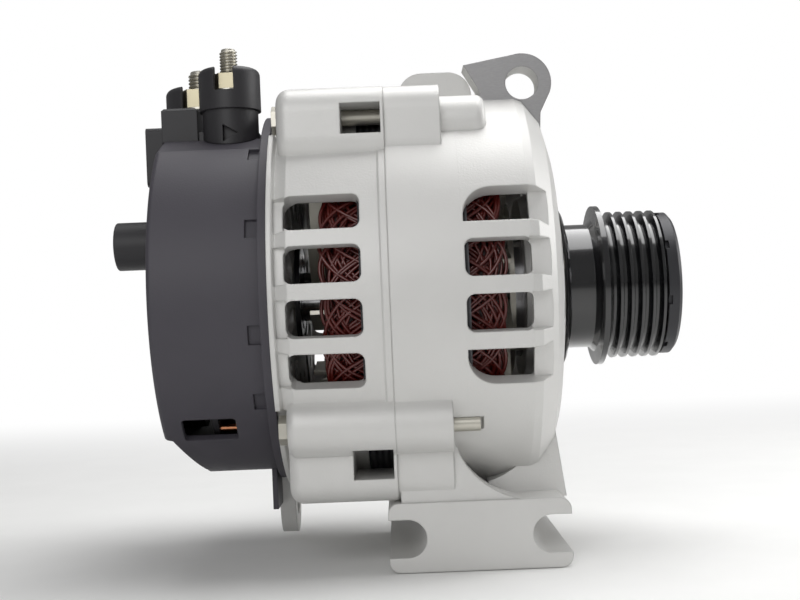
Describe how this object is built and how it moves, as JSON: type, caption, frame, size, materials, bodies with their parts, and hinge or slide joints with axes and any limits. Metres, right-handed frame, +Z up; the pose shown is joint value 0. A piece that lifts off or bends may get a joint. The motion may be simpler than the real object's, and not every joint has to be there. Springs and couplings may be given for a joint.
{
  "type": "car alternator",
  "caption": "Car alternator with cast aluminium frames, copper windings behind air windows, black rear cover with two terminal studs, slotted mounting foot and ribbed overrunning belt pulley.",
  "frame": {"origin": "on the foot's base, midway along the foot's length and right under the shaft", "axes": "+X along the shaft towards the pulley, +Z up, -Y the side with the foot's near end, both studs' openings and the lug's machined face"},
  "size_m": [0.1909, 0.1332, 0.1705],
  "materials": {
    "cast_aluminium": "cast, satin",
    "black_plastic": "fine grain",
    "cover_plastic": "fine grain, matt",
    "zinc_steel": "zinc plated",
    "bearing_steel": "ground",
    "pole_steel": "forged, machined outside",
    "core_steel": "laminated, varnished",
    "copper_enamel": "red enamel",
    "copper": "turned",
    "pulley_black": "gloss black",
    "cap_black": "satin",
    "carbon": "matt"
  },
  "bodies": {
    "housing": {"drive_end_frame": "cast_aluminium", "rear_end_frame": "cast_aluminium", "through_bolts": "zinc_steel", "stator_core": "core_steel", "stator_winding": "copper_enamel", "phase_leads": "copper", "front_bearing_outer_ring": "bearing_steel", "front_bearing_shields": "zinc_steel", "bearing_retainer": "zinc_steel", "retainer_screws": "zinc_steel", "rear_bearing_outer_ring": "bearing_steel", "rear_bearing_shields": "zinc_steel", "rear_bearing_sleeve": "black_plastic", "rear_cover": "cover_plastic", "cover_studs": "zinc_steel", "cover_nuts": "zinc_steel", "stud_spacers": "black_plastic", "negative_heat_sink": "cast_aluminium", "positive_heat_sink": "cast_aluminium", "negative_diodes": "copper", "positive_diodes": "copper", "rectifier_carrier": "black_plastic", "regulator_body": "black_plastic", "regulator_screws": "zinc_steel", "brush_holder": "black_plastic", "front_brush_spring": "zinc_steel", "rear_brush_spring": "zinc_steel", "plug_socket": "black_plastic", "plug_pins": "copper", "terminal_housing": "black_plastic", "output_stud": "zinc_steel", "output_washer": "zinc_steel", "output_nut": "zinc_steel", "side_stud": "zinc_steel", "side_washer": "zinc_steel", "side_nut": "zinc_steel"},
    "rotor": {"rotor_shaft": "zinc_steel", "claw_pole_front": "pole_steel", "claw_pole_rear": "pole_steel", "coil_bobbin": "black_plastic", "field_coil": "copper_enamel", "front_fan": "zinc_steel", "rear_fan": "zinc_steel", "slip_ring_carrier": "black_plastic", "slip_rings": "copper", "front_bearing_inner_ring": "bearing_steel", "rear_bearing_inner_ring": "bearing_steel", "shaft_spacer": "zinc_steel", "slinger_disc": "pulley_black", "pulley_hub": "bearing_steel"},
    "pulley": {"pulley_ring": "pulley_black", "pulley_cap": "cap_black", "pulley_bushes": "bearing_steel", "clutch_rollers": "bearing_steel"},
    "front_ball_set": {"front_bearing_balls": "bearing_steel"},
    "rear_ball_set": {"rear_bearing_balls": "bearing_steel"},
    "front_brush_body": {"front_brush": "carbon"},
    "rear_brush_body": {"rear_brush": "carbon"}
  },
  "joints": [
    {"name": "rotor_spin", "type": "hinge", "parent": "housing", "child": "rotor", "pos_m": [-0.02485, 0, 0.0875], "axis": [1, 0, 0], "continuous": true},
    {"name": "pulley_overrun", "type": "hinge", "parent": "rotor", "child": "pulley", "pos_m": [0.05515, 0, 0.0875], "axis": [1, 0, 0], "continuous": true},
    {"name": "front_cage_roll", "type": "hinge", "parent": "housing", "child": "front_ball_set", "pos_m": [0.02315, 0, 0.0875], "axis": [1, 0, 0], "continuous": true},
    {"name": "rear_cage_roll", "type": "hinge", "parent": "housing", "child": "rear_ball_set", "pos_m": [-0.06085, 0, 0.0875], "axis": [1, 0, 0], "continuous": true},
    {"name": "front_brush_slide", "type": "slide", "parent": "housing", "child": "front_brush_body", "axis": [0, 0, 1], "range_m": [0, 0.005], "stiffness_N_per_m": 400, "springref_m": -0.006, "deforming": ["front_brush_spring"]},
    {"name": "rear_brush_slide", "type": "slide", "parent": "housing", "child": "rear_brush_body", "axis": [0, 0, 1], "range_m": [0, 0.005], "stiffness_N_per_m": 400, "springref_m": -0.006, "deforming": ["rear_brush_spring"]}
  ],
  "couplings": [
    {"joint": "front_cage_roll", "follows": "rotor_spin", "ratio": 0.378},
    {"joint": "rear_cage_roll", "follows": "rotor_spin", "ratio": 0.384}
  ]
}
